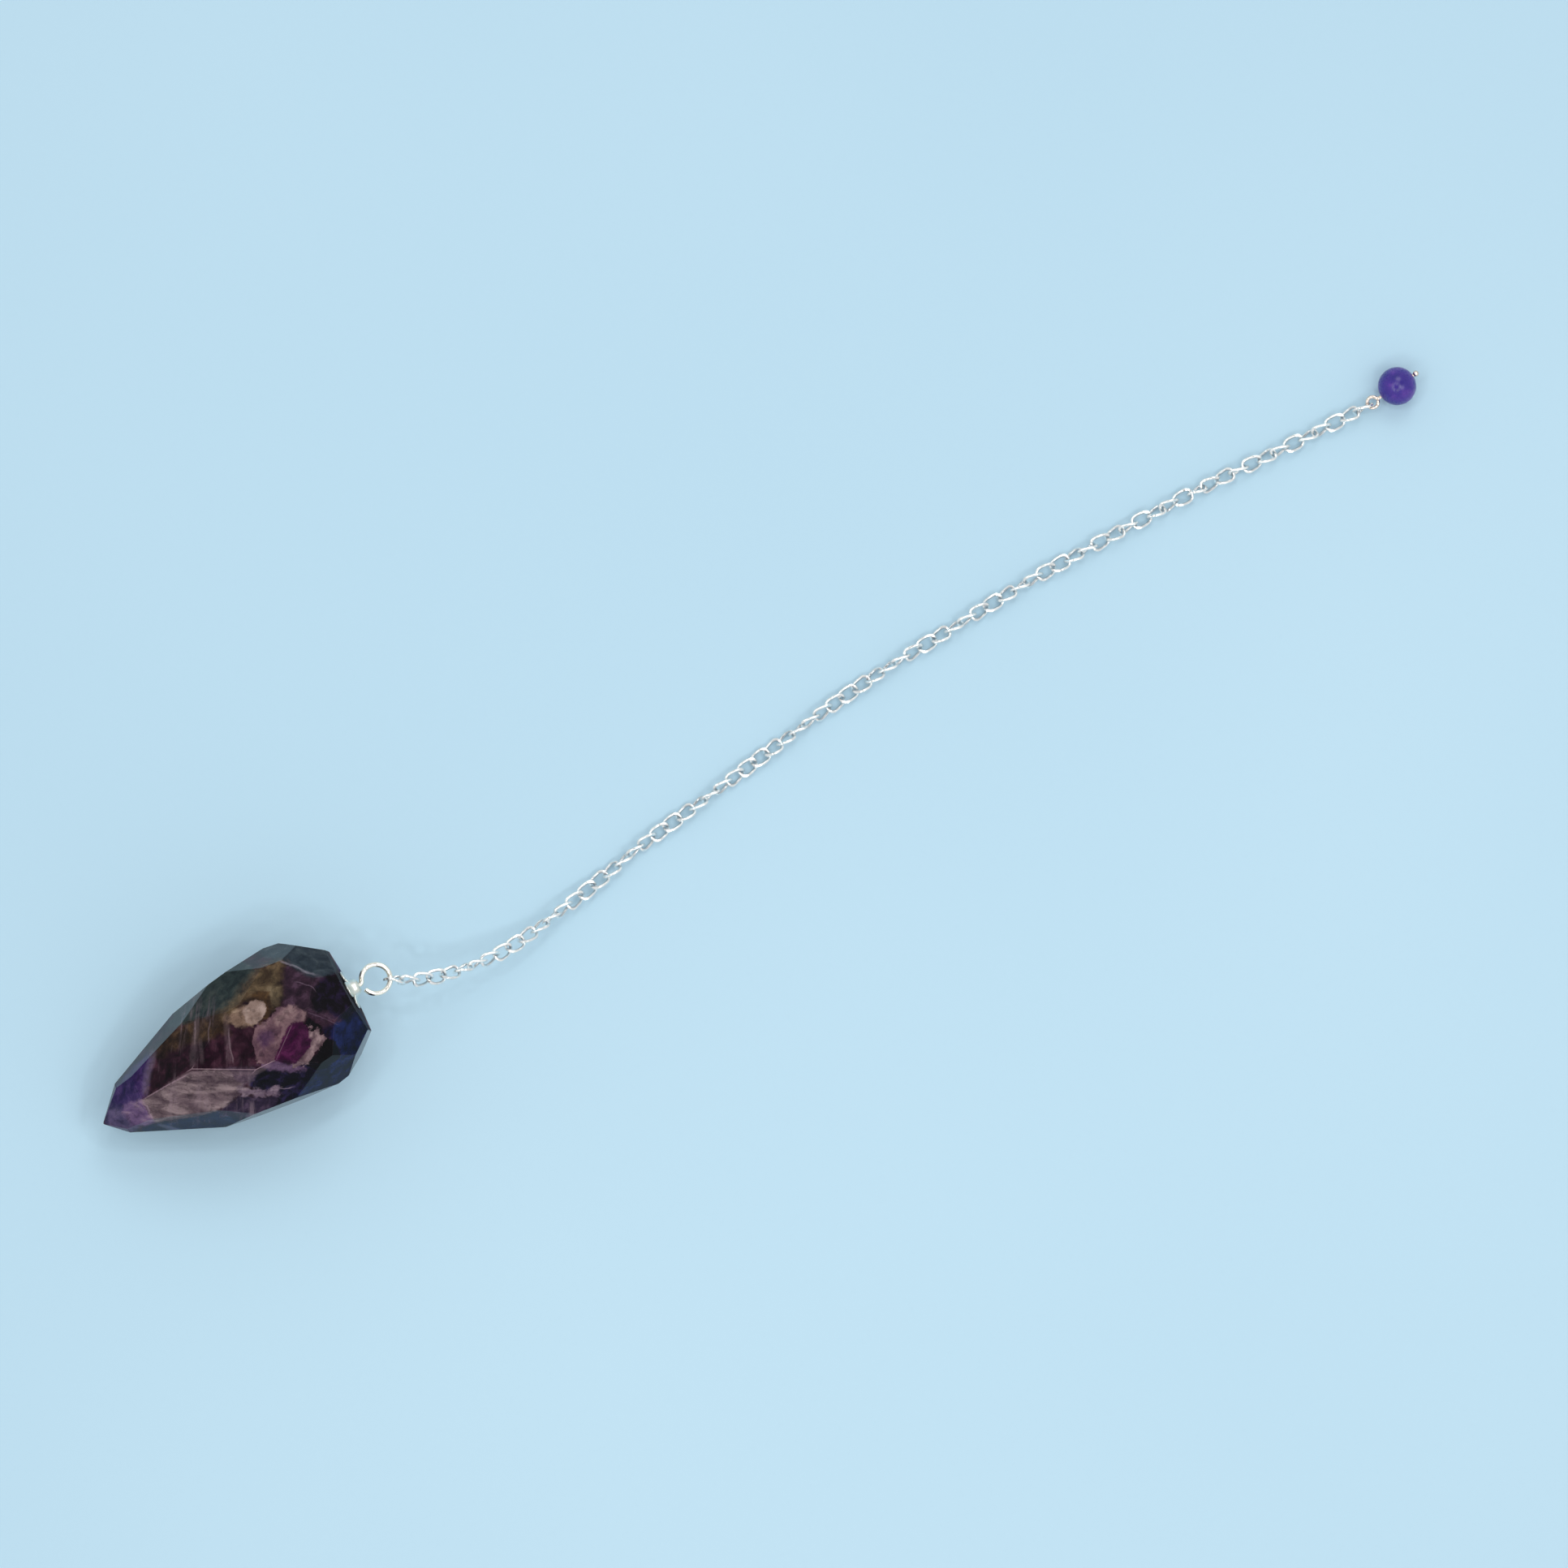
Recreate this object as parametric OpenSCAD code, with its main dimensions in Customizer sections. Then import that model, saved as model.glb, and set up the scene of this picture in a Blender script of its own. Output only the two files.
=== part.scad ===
// Dowsing pendulum: a faceted drop of stone with a petal cap and a wire eye, a twisted curb chain
// and a small round bead on a head pin. It lies at rest on a flat surface, in millimetres.
// The origin is the middle of the facet that the stone lies on. +X runs along the stone's axis
// from its tip to the chain, and +Z is up.

/* [Stone] */
// Length of the stone from its tip to its flat top
stone_len = 43.4; // [34:0.2:56]
// Width of the stone where it is widest
stone_w = 24; // [18:0.2:32]
// Depth of the hole drilled in the flat top
bore_depth = 9; // [6:0.5:14]

/* [Cap] */
// Width of the cap over its petals
cap_w = 6.4; // [5.4:0.1:8]
// Height of the cap from its petals' undersides to its top
cap_h = 1.8; // [1.4:0.1:2.6]
// Width of the round collar in the middle of the cap
collar_w = 2.7; // [2.2:0.1:3.2]
// Height of the collar's straight side
collar_h = 0.7; // [0.4:0.1:1]
// Thickness of the cap's sheet metal
cap_wall = 0.3; // [0.2:0.05:0.4]
// Number of petals
petals = 4; // [3:1:8]

/* [Eye pin] */
// Thickness of the eye pin's wire
eye_wire = 0.85; // [0.6:0.05:1]
// Width of the eye over its wire
eye_w = 5.35; // [4.4:0.05:6.6]
// Length of the peg glued into the stone
peg_len = 7.5; // [5:0.5:12]
// Radius of the bend between the peg and the eye
neck_r = 0.7; // [0.6:0.05:1.2]
// Angle of that bend
neck_bend = 68; // [60:1:75]
// Angle round the eye at which the chain pulls on it
eye_pull = 28; // [0:1:40]

/* [Chain] */
// Length of the chain along the stone's axis, from the eye to the bead's loop
chain_span = 178.9; // [120:0.5:240]
// Length of a link over its wire
link_len = 3.58; // [3.2:0.02:4.2]
// Width of a link over its wire
link_w = 2.56; // [2.3:0.02:3]
// Thickness of a link's wire
link_wire = 0.46; // [0.36:0.02:0.5]
// Angle by which a link's two ends are twisted out of its plane
link_twist = 32; // [20:1:38]
// Length over which the chain comes down from the eye to the surface
drop_len = 44; // [30:1:70]

/* [Bead and head pin] */
// Width of the round bead
bead_w = 6; // [4:0.1:9]
// Thickness of the head pin's wire
pin_wire = 0.55; // [0.4:0.05:0.7]
// Width of the ball on the end of the head pin
ball_w = 1; // [0.8:0.05:1.6]
// Width of the head pin's loop over its wire
pin_loop_w = 2.3; // [2.1:0.05:3.2]
// Length of bare wire between the bead and the loop's bend
pin_bare = 0.3; // [0.2:0.05:1]
// Angle by which the pin's loop hangs below the bead's middle
pin_sag = 12; // [6:1:16]
// Angle of the pin away from the stone's axis, seen from above
pin_turn = 5; // [-10:1:15]

/* [Fit] */
// Clearance between pieces that seat on or pass through each other
fit = 0.05; // [0.03:0.01:0.08]
// Least play between two hooked links along the chain
link_play = 0.21; // [0.2:0.01:0.3]
// Play between an end link and the wire that it hooks on
hook_play = 0.17; // [0.12:0.01:0.25]

/* [Hidden] */
$fn = 64;

// Each row of facets: its station as a share of the length, its distance from the axis there as a
// share of the half width, its slope in degrees (positive opens towards the cap), its start in
// steps round the stone, and how much each facet stands proud as a share of the half width.
// The first facet of the second row faces down, and the stone lies on it.
FACET_ROWS = [
    [0.384, 0.735, 18.5, 0.5, [0, -0.005, 0, 0, -0.015, 0, 0, 0]],
    [0.6, 0.895, 7.4, 0, [0, 0.01, 0.02, 0.05, 0, 0.015, 0, 0.01]],
    [0.8, 0.925, -9.4, 0.5, [0, 0, 0.02, 0.005, 0.015, 0.005, 0, 0]],
    [0.9, 0.85, -37.2, 0, [0, 0.01, 0.01, 0, 0.02, 0, 0, 0.01]],
];
// How many degrees more each facet of the first row slopes than that row
FIRST_ROW_EXTRA = [0, 2, 2, 0, 0, 5, 5, 0];
// Slope in degrees of each of the facets that meet in the tip
TIP_SLOPES = [39, 43, 43, 37, 37, 43, 43, 39];
FACETS_ROUND = 8;

// Where the chain wanders sideways from the stone's axis, in millimetres, at equal steps along it
// from its first link to its last; it starts at the eye.
CHAIN_SWAY = [-5.3, -3.6, -0.6, 1.6, 3.9, 5.8, 6.8, 7.7, 7.9, 7.9, 7.4, 7.1];
// How many times steeper the chain leaves the eye than it runs to the first of these
SWAY_START = 2.5;
// How far the chain has turned about its own line: share of its length, and whole turns there
CHAIN_TURNS = [
    [0, -0.3], [0.076, 0.25], [0.338, 1.75], [0.538, 2.75], [0.731, 4.25], [0.952, 7.25], [1, 7.75],
];

// Stone
facet_step = 360 / FACETS_ROUND;
half_w = stone_w / 2;
blank = 3 * max(stone_len, stone_w);
rest_tilt = FACET_ROWS[1][2];
rest_station = FACET_ROWS[1][0] * stone_len;
rest_r = FACET_ROWS[1][1] * half_w;
// A point on the stone's axis in the part's frame, and one beside the axis in the eye's plane
function on_stone(station, side = 0) = [
    (station - rest_station) * cos(rest_tilt) - rest_r * sin(rest_tilt),
    side,
    (station - rest_station) * sin(rest_tilt) + rest_r * cos(rest_tilt),
];
bore_d = eye_wire + 2 * fit;

// Cap, which seats on the flat top
cap_base = stone_len + fit;
cap_top = cap_base + cap_h;
cap_r = cap_w / 2;
collar_r = collar_w / 2;
flare_top = cap_h - collar_h;
petal_pitch_r = cap_r / (1 + sin(180 / petals));
petal_r = petal_pitch_r * sin(180 / petals);

// Eye: its neck starts at the cap's top, bends to one side and runs round almost a full turn
eye_r = (eye_w - eye_wire) / 2;
eye_gap_angle = 38;
KNUCKLE = 1.03;
function eye_side(r, bend_r, bend) = bend_r - (bend_r + r) * cos(bend);
function eye_rise(r, bend_r, bend) = (bend_r + r) * sin(bend);
eye_centre = [cap_top + eye_rise(eye_r, neck_r, neck_bend), eye_side(eye_r, neck_r, neck_bend)];
pull_point = on_stone(eye_centre[0] + eye_r * cos(eye_pull), eye_centre[1] - eye_r * sin(eye_pull));

// Links: the path of a link's wire is a rounded oval whose two ends are twisted
LINK_SIDES = 6;
LINK_STEPS = 12;
link_a = (link_len - link_wire) / 2;
link_b = (link_w - link_wire) / 2;
link_c = link_b * tan(link_twist) / 2;
link_squareness = 2.5;
link_inner = link_len - 2 * link_wire;
function rounded(q) = sign(q) * pow(abs(q), 2 / link_squareness);
function link_path(t) = [link_a * rounded(cos(t)), link_b * rounded(sin(t)), link_c * sin(2 * t)];
LINK_LINE = [for (j = [0 : LINK_STEPS - 1]) link_path(j * 360 / LINK_STEPS)];
function unit(v) = v / norm(v);
function link_ring(j) =
    let (
        along = unit(LINK_LINE[(j + 1) % LINK_STEPS] - LINK_LINE[(j + LINK_STEPS - 1) % LINK_STEPS]),
        out = unit(cross(along, [0, 0, 1])),
        up = cross(out, along)
    )
    [for (i = [0 : LINK_SIDES - 1]) let (a = i * 360 / LINK_SIDES)
        LINK_LINE[j] + link_wire / 2 * (cos(a) * out + sin(a) * up)];
LINK_MESH = [for (j = [0 : LINK_STEPS - 1]) each link_ring(j)];

// Bead and head pin: the bead lies on the surface, and the loop hangs towards the chain
bead_r = bead_w / 2;
pin_loop_r = (pin_loop_w - pin_wire) / 2;
pin_neck_r = pin_wire;
pin_neck_bend = acos(pin_neck_r / (pin_neck_r + pin_loop_r));
pin_gap_angle = 30;
pin_neck = bead_r + pin_bare;
pin_reach = pin_neck + eye_rise(pin_loop_r, pin_neck_r, pin_neck_bend) + pin_loop_r;
pin_line = [cos(pin_sag) * cos(pin_turn), cos(pin_sag) * sin(pin_turn), sin(pin_sag)];
chain_end = [
    pull_point[0] + chain_span,
    CHAIN_SWAY[len(CHAIN_SWAY) - 1],
    bead_r - pin_reach * sin(pin_sag),
];
bead_centre = chain_end + pin_reach * pin_line;

// Route of the chain from the eye's wire to the loop's wire. x runs from 0 to the span.
function link_reach(turns) = link_wire / 2 + max([for (p = LINK_LINE)
    p[1] * sin(360 * turns) - p[2] * cos(360 * turns)]);
lie_height = link_reach(0.25) + fit;
rise_len = 3 * link_len;
sway = concat([pull_point[1]], CHAIN_SWAY);
function sway_at(i) =
    i < 0 ? sway[1] + 2 * SWAY_START * (sway[0] - sway[1])
    : i >= len(sway) ? 2 * sway[len(sway) - 1] - sway[len(sway) - 2]
    : sway[i];
function route_side(x) =
    let (
        q = min(x / chain_span, 0.99999) * (len(sway) - 1),
        i = floor(q),
        f = q - i,
        before = sway_at(i - 1), from = sway_at(i), to = sway_at(i + 1), after = sway_at(i + 2)
    )
    from + f / 2 * (to - before + f * (2 * before - 5 * from + 4 * to - after
        + f * (3 * (from - to) + after - before)));
function route_up(x) = lie_height
    + (pull_point[2] - lie_height) * pow(max(0, 1 - x / drop_len), 2)
    + (chain_end[2] - lie_height) * pow(max(0, 1 - (chain_span - x) / rise_len), 2);
function route(x) = [pull_point[0] + x, route_side(x), route_up(x)];
ROUTE_STEPS = 400;
route_points = [for (i = [0 : ROUTE_STEPS]) route(i * chain_span / ROUTE_STEPS)];
function lengths_to(i, total = 0) =
    i > ROUTE_STEPS ? [] : concat([total], lengths_to(i + 1,
        total + (i < ROUTE_STEPS ? norm(route_points[i + 1] - route_points[i]) : 0)));
route_lengths = lengths_to(0);
station_of = [for (i = [0 : ROUTE_STEPS]) [route_lengths[i], i * chain_span / ROUTE_STEPS]];

// Links along the route: the first and the last hook on the eye and on the pin's loop
function hook_depth(wire) = link_a - (wire + link_wire) / 2 - hook_play;
first_at = hook_depth(eye_wire);
links_len = route_lengths[ROUTE_STEPS] - first_at - hook_depth(pin_wire);
link_count = ceil(links_len / (link_inner - link_play)) + 1;
pitch = links_len / (link_count - 1);
link_turns = [for (k = [0 : link_count - 1]) lookup(k / (link_count - 1), CHAIN_TURNS)];
// A link that stands on edge holds its neighbours up, so heights change little from link to link
HEIGHT_STEP = 0.12;
NEIGHBOURS = 6;
function link_lift(k) = max([for (j = [max(0, k - NEIGHBOURS) : min(link_count - 1, k + NEIGHBOURS)])
    link_reach(link_turns[j]) - HEIGHT_STEP * abs(j - k)]) - link_reach(0.25);
link_centres = [for (k = [0 : link_count - 1])
    route(lookup(first_at + k * pitch, station_of)) + [0, 0, link_lift(k)]];
function link_mesh(k) =
    let (
        ahead = link_centres[min(k + 1, link_count - 1)],
        behind = link_centres[max(k - 1, 0)],
        along = unit(ahead - behind),
        side = unit(cross([0, 0, 1], along)),
        up = cross(along, side),
        a = -360 * link_turns[k],
        across = cos(a) * side + sin(a) * up,
        through = cos(a) * up - sin(a) * side
    )
    [for (p = LINK_MESH) link_centres[k] + p[0] * along + p[1] * across + p[2] * through];
function link_faces(first) = [for (j = [0 : LINK_STEPS - 1]) for (i = [0 : LINK_SIDES - 1])
    let (
        a = first + j * LINK_SIDES + i,
        b = first + j * LINK_SIDES + (i + 1) % LINK_SIDES,
        c = first + (j + 1) % LINK_STEPS * LINK_SIDES + (i + 1) % LINK_SIDES,
        d = first + (j + 1) % LINK_STEPS * LINK_SIDES + i
    )
    each [[a, b, c], [a, c, d]]];

// Places what is drawn along +Z from the stone's tip into the part's frame
module in_stone() {
    translate(on_stone(0)) rotate([0, 90 - rest_tilt, 0]) children();
}

// Places what is drawn along the head pin, with its ball end towards +X
module on_pin() {
    translate(bead_centre) rotate([0, -pin_sag, pin_turn]) children();
}

// Keeps what lies inside one facet's plane
module facet_side(angle, r, station, slope) {
    rotate([0, 0, angle]) translate([r, 0, station]) rotate([0, slope, 0])
        translate([-blank, -blank / 2, -blank / 2]) cube(blank);
}

module stone_facets() {
    intersection() {
        intersection_for (k = [0 : FACETS_ROUND - 1])
            facet_side((k + 0.5) * facet_step, 0, 0, TIP_SLOPES[k]);
        intersection_for (row = FACET_ROWS)
            intersection_for (k = [0 : FACETS_ROUND - 1])
                facet_side((k + row[3]) * facet_step, (row[1] + row[4][k]) * half_w,
                    row[0] * stone_len,
                    row[2] + (row == FACET_ROWS[0] ? FIRST_ROW_EXTRA[k] : 0));
        translate([-blank / 2, -blank / 2, stone_len - blank]) cube(blank);
    }
}

module stone() {
    color("rebeccapurple") in_stone() difference() {
        stone_facets();
        translate([0, 0, stone_len - bore_depth]) cylinder(d = bore_d, h = bore_depth + 1);
    }
}

// Section of the cap: a collar with a closed top, flared out to the petals
module cap_section() {
    flare = [for (a = [180 : 15 : 270]) a];
    inner_reach = cap_r - collar_r + cap_wall;
    polygon(concat(
        [[bore_d / 2, cap_h - cap_wall], [collar_r - cap_wall, cap_h - cap_wall]],
        [for (a = flare) [cap_r + inner_reach * cos(a), flare_top * (1 + sin(a))]],
        [for (i = [len(flare) - 1 : -1 : 0])
            [cap_r + (cap_r - collar_r) * cos(flare[i]),
                flare_top + (flare_top - cap_wall) * sin(flare[i])]],
        [[collar_r, cap_h], [bore_d / 2, cap_h]]
    ));
}

module cap() {
    color("silver") in_stone() translate([0, 0, cap_base]) intersection() {
        rotate_extrude() cap_section();
        linear_extrude(height = cap_h) {
            circle(r = collar_r + cap_wall);
            for (k = [0 : petals - 1])
                rotate(k * 360 / petals) translate([petal_pitch_r, 0]) circle(r = petal_r);
        }
    }
}

// Wire that runs up +Z to the origin, bends towards +Y and turns back round into an open eye.
// A slight knuckle marks where the two bends meet.
module turned_eye(r, wire, bend_r, bend, gap_angle) {
    rotate([90, 0, 90]) {
        translate([bend_r, 0, 0]) rotate([0, 0, 180 - bend])
            rotate_extrude(angle = bend) translate([bend_r, 0]) circle(d = wire);
        translate([eye_side(r, bend_r, bend), eye_rise(r, bend_r, bend), 0]) rotate([0, 0, -bend]) {
            rotate_extrude(angle = 360 - gap_angle) translate([r, 0]) circle(d = wire);
            translate([r, 0, 0]) sphere(d = wire * KNUCKLE);
        }
    }
}

module eye_pin() {
    color("gainsboro") in_stone() {
        translate([0, 0, stone_len - peg_len]) cylinder(d = eye_wire, h = peg_len + fit + cap_h);
        translate([0, 0, cap_top]) turned_eye(eye_r, eye_wire, neck_r, neck_bend, eye_gap_angle);
    }
}

module chain() {
    color("silver") polyhedron(
        points = [for (k = [0 : link_count - 1]) each link_mesh(k)],
        faces = [for (k = [0 : link_count - 1]) each link_faces(k * LINK_STEPS * LINK_SIDES)],
        convexity = 10
    );
}

module head_pin() {
    color("rosybrown") on_pin() {
        translate([-pin_neck, 0, 0]) rotate([0, 90, 0])
            cylinder(d = pin_wire, h = pin_neck + bead_r + fit + ball_w / 2);
        translate([bead_r + fit + ball_w / 2, 0, 0]) sphere(d = ball_w);
        translate([-pin_neck, 0, 0]) rotate([0, -90, 0])
            turned_eye(pin_loop_r, pin_wire, pin_neck_r, pin_neck_bend, pin_gap_angle);
    }
}

module bead() {
    color("indigo") on_pin() difference() {
        sphere(d = bead_w);
        rotate([0, 90, 0]) cylinder(d = pin_wire + 2 * fit, h = bead_w + 1, center = true);
    }
}

stone();
cap();
eye_pin();
chain();
head_pin();
bead();
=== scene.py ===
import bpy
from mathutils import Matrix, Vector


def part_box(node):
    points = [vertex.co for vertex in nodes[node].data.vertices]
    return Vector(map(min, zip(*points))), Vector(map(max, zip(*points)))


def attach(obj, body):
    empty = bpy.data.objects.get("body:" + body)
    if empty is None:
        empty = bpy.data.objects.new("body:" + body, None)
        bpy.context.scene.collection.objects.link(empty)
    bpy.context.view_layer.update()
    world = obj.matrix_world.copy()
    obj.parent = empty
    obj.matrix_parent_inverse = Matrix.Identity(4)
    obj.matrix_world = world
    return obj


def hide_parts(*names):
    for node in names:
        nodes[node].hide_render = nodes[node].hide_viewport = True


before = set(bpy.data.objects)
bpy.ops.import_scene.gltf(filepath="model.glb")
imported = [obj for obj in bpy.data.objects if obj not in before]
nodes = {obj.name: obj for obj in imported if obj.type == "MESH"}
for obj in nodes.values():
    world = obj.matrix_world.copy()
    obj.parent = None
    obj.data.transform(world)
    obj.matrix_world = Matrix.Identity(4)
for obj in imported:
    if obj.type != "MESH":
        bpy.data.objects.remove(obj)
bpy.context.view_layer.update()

import math

import bmesh
import bpy
import numpy as np
from mathutils import Matrix, Vector


# Camera: looks almost straight down on the table, with the chain drawn out to the upper right.
# Its picture's right and up are also the directions that the stone's markings are laid out in.
MM = 0.001
CAMERA_AT = Vector((-104, -149.6, 2000)) * MM
CAMERA_AIM = Vector((91.95, -2.35, 0)) * MM
CAMERA_UP = Vector((0.4662, 0.8778, 0.1103))
CAMERA_LENS = 295.9

view_line = (CAMERA_AIM - CAMERA_AT).normalized()
picture_right = view_line.cross(CAMERA_UP).normalized()
picture_up = picture_right.cross(view_line)
lens = bpy.data.cameras.new("camera")
lens.lens = CAMERA_LENS
lens.sensor_width = 36
lens.clip_start = 0.05
lens.clip_end = 20
camera = bpy.data.objects.new("camera", lens)
camera.matrix_world = Matrix.Translation(CAMERA_AT) @ Matrix(
    (picture_right, picture_up, -view_line)).transposed().to_4x4()
bpy.context.scene.collection.objects.link(camera)
bpy.context.scene.camera = camera
bpy.context.scene.view_settings.view_transform = "Standard"


# Table: a wide sheet of pale card that the pendulum lies on, with a faint grain. It is lit by a
# ring of small lamps, two soft lamps to the sides, and the room's own light, which is darker
# straight overhead, where the camera is.
TABLE_HALF = 1.5
TABLE_COLOUR = (0.43, 0.62, 0.74)
CLOUD_COLOUR = (0.5, 0.69, 0.8)
GRAIN_COLOUR = (0.38, 0.56, 0.68)
ROOM_LIGHT = 0.76
ROOM_DARK = 0.64
RING_AT = Vector((20, -80, 620)) * MM
RING_RADIUS = 0.26
RING_LAMPS = 12
RING_WATTS = 0.17
RING_AIM = Vector((90, 0, 0)) * MM


class Socket:
    """A socket of a material's nodes. + - * on values add Math nodes."""

    def __init__(self, tree, link=None):
        self.tree = tree
        self.link = link

    def node(self, kind, settings, sockets, output=0):
        """Adds one node: its settings first, then the values or links of its sockets."""
        made = self.tree.nodes.new("ShaderNode" + kind)
        for name, value in settings.items():
            if name == "stops":
                ramp = made.color_ramp
                while len(ramp.elements) < len(value):
                    ramp.elements.new(0.5)
                for element, (place, colour) in zip(ramp.elements, value):
                    element.position = place
                    element.color = (*colour, 1)
            else:
                setattr(made, name, value)
        for name, value in sockets.items():
            self.feed(made.inputs[name], value)
        return Socket(self.tree, made.outputs[output])

    def feed(self, target, value):
        if isinstance(value, Socket):
            self.tree.links.new(value.link, target)
        else:
            target.default_value = value

    def math(self, operation, first, second):
        return self.node("Math", {"operation": operation}, {0: first, 1: second})

    def __add__(self, other):
        return self.math("ADD", self, other)

    def __radd__(self, other):
        return self.math("ADD", other, self)

    def __sub__(self, other):
        return self.math("SUBTRACT", self, other)

    def __rsub__(self, other):
        return self.math("SUBTRACT", other, self)

    def __mul__(self, other):
        return self.math("MULTIPLY", self, other)

    def size(self):
        return self.math("ABSOLUTE", self, 0)

    def most(self, other):
        return self.math("MAXIMUM", self, other)

    def ease(self, start, end):
        """0 at start and 1 at end, eased in and out."""
        return self.node("MapRange", {"interpolation_type": "SMOOTHSTEP"},
                         {"Value": self, "From Min": start, "From Max": end})

    def under(self, paint, mask):
        """This colour with a paint over it where the mask is 1."""
        if not isinstance(paint, Socket):
            paint = (*paint, 1)
        return self.node("Mix", {"data_type": "RGBA"}, {0: mask, 6: self, 7: paint}, 2)

    def scaled(self, factors):
        return self.node("VectorMath", {"operation": "MULTIPLY"}, {0: self, 1: factors})

    def along(self, direction):
        return self.node("VectorMath", {"operation": "DOT_PRODUCT"}, {0: self, 1: direction}, 1)

    def noise(self, scale, detail=3.0, roughness=0.5, distortion=0.0):
        """Cloudy noise from 0 to 1 at this place."""
        return self.node("TexNoise", {}, {"Vector": self, "Scale": scale, "Detail": detail,
                                          "Roughness": roughness, "Distortion": distortion})


def new_material(name):
    """A material, an unlinked socket to start its expressions from, and its surface shader."""
    material = bpy.data.materials.new(name)
    material.use_nodes = True
    tree = material.node_tree
    return material, Socket(tree), tree.nodes["Principled BSDF"]


def place_mm(start):
    """The place on the piece, in millimetres."""
    return start.node("TexCoord", {}, {}, 3).scaled((1000, 1000, 1000))


def bump(start, height, distance_mm, strength=1.0):
    return start.node("Bump", {}, {"Strength": strength, "Distance": distance_mm * MM,
                                   "Height": height})


card, start, surface = new_material("pale_card")
grain = place_mm(start).noise(0.9, 4.0, 0.6)
cloud = place_mm(start).noise(0.004, 2.0)
card_colour = start.node("Mix", {"data_type": "RGBA"}, {
    0: cloud.ease(0.3, 0.8) * 0.5, 6: (*TABLE_COLOUR, 1), 7: (*CLOUD_COLOUR, 1)}, 2)
card_colour = card_colour.under(GRAIN_COLOUR, grain.ease(0.5, 0.9) * 0.12)
start.feed(surface.inputs["Base Color"], card_colour)
start.feed(surface.inputs["Normal"], bump(start, grain, 0.02, 0.3))
surface.inputs["Roughness"].default_value = 0.75
table_mesh = bpy.data.meshes.new("table")
table_mesh.from_pydata([(-TABLE_HALF, -TABLE_HALF, 0), (TABLE_HALF, -TABLE_HALF, 0),
                        (TABLE_HALF, TABLE_HALF, 0), (-TABLE_HALF, TABLE_HALF, 0)], [],
                       [(0, 1, 2, 3)])
table = bpy.data.objects.new("table", table_mesh)
bpy.context.scene.collection.objects.link(table)
table_mesh.materials.append(card)

room = bpy.data.worlds.new("room")
room.use_nodes = True
backdrop = room.node_tree.nodes["Background"]
backdrop.inputs["Color"].default_value = (0.95, 0.98, 1, 1)
zenith = Socket(room.node_tree).node("TexCoord", {}, {}, 0).along((0, 0, 1))
zenith.feed(backdrop.inputs["Strength"], ROOM_LIGHT - zenith.ease(0.72, 0.96) * ROOM_DARK)
bpy.context.scene.world = room


def lamp(name, place, aim, width, watts, colour=(1, 1, 1)):
    """A round lamp that is turned to a place."""
    data = bpy.data.lights.new(name, "AREA")
    data.shape = "DISK"
    data.size = width
    data.energy = watts
    data.color = colour
    thing = bpy.data.objects.new(name, data)
    thing.location = place
    thing.rotation_euler = (aim - place).to_track_quat("-Z", "Y").to_euler()
    bpy.context.scene.collection.objects.link(thing)


def from_above(zenith, azimuth, distance):
    """A place over the middle of the table, at angles in degrees from straight up and from +X."""
    tilt = math.radians(zenith)
    turn = math.radians(azimuth)
    return CAMERA_AIM + distance * Vector((math.sin(tilt) * math.cos(turn),
                                           math.sin(tilt) * math.sin(turn), math.cos(tilt)))


for k in range(RING_LAMPS):
    turn = 2 * math.pi * k / RING_LAMPS
    ring_place = RING_AT + RING_RADIUS * Vector((math.cos(turn), math.sin(turn), 0))
    lamp(f"ring_lamp_{k}", ring_place, RING_AIM, 0.05, RING_WATTS)
lamp("soft_lamp_top", from_above(36, 52, 1.3), CAMERA_AIM, 0.62, 2.6, (1, 0.98, 0.95))
lamp("soft_lamp_side", from_above(32, -48, 1.2), CAMERA_AIM, 0.5, 1.6, (1, 0.99, 0.97))


# Stone: one drop of banded amethyst, sawn, ground to four rows of facets and polished, with a
# hole drilled in its flat top for the peg. It is cloudy: pale bands, an ochre stain, near black
# inclusions and a magenta patch lie in dark purple, and its facet edges are worn pale. A highlight
# is painted along its top ridges, and a blue reflection over some facets at its sides.
STONE_LEN = 43.4
WIDEST_AT = 0.6 * STONE_LEN
REST_R = 0.895 * 12
LEAN = math.radians(7.4)
EDGE_ROUND = 0.07
SHARP_TIP = 1.0
CELL = 0.8
PICTURE_SLOPE = (0.884, 0.468)
stone_axis = Vector((math.cos(LEAN), 0, math.sin(LEAN)))
tip_mm = REST_R * Vector((-math.sin(LEAN), 0, math.cos(LEAN))) - WIDEST_AT * stone_axis
# The markings are laid out along the stone and across it, as the camera sees it.
stone_along = PICTURE_SLOPE[0] * picture_right + PICTURE_SLOPE[1] * picture_up
stone_across = -PICTURE_SLOPE[1] * picture_right + PICTURE_SLOPE[0] * picture_up

# The part's own facets, with their edges rounded except within SHARP_TIP of the axis, cut into cells
# that are small enough for their corners to carry the markings.
bm = bmesh.new()
bm.from_mesh(nodes["stone"].data)
bmesh.ops.remove_doubles(bm, verts=bm.verts, dist=1e-7)
bmesh.ops.dissolve_limit(bm, angle_limit=math.radians(0.5), verts=bm.verts, edges=bm.edges)
for layer in ("worn", "sawn"):
    bm.faces.layers.float.new(layer)
worn = bm.faces.layers.float["worn"]
sawn = bm.faces.layers.float["sawn"]


def off_axis(point):
    """How far a place is from the stone's axis, in millimetres."""
    from_tip = point / MM - tip_mm
    return (from_tip - from_tip.dot(stone_axis) * stone_axis).length


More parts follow.
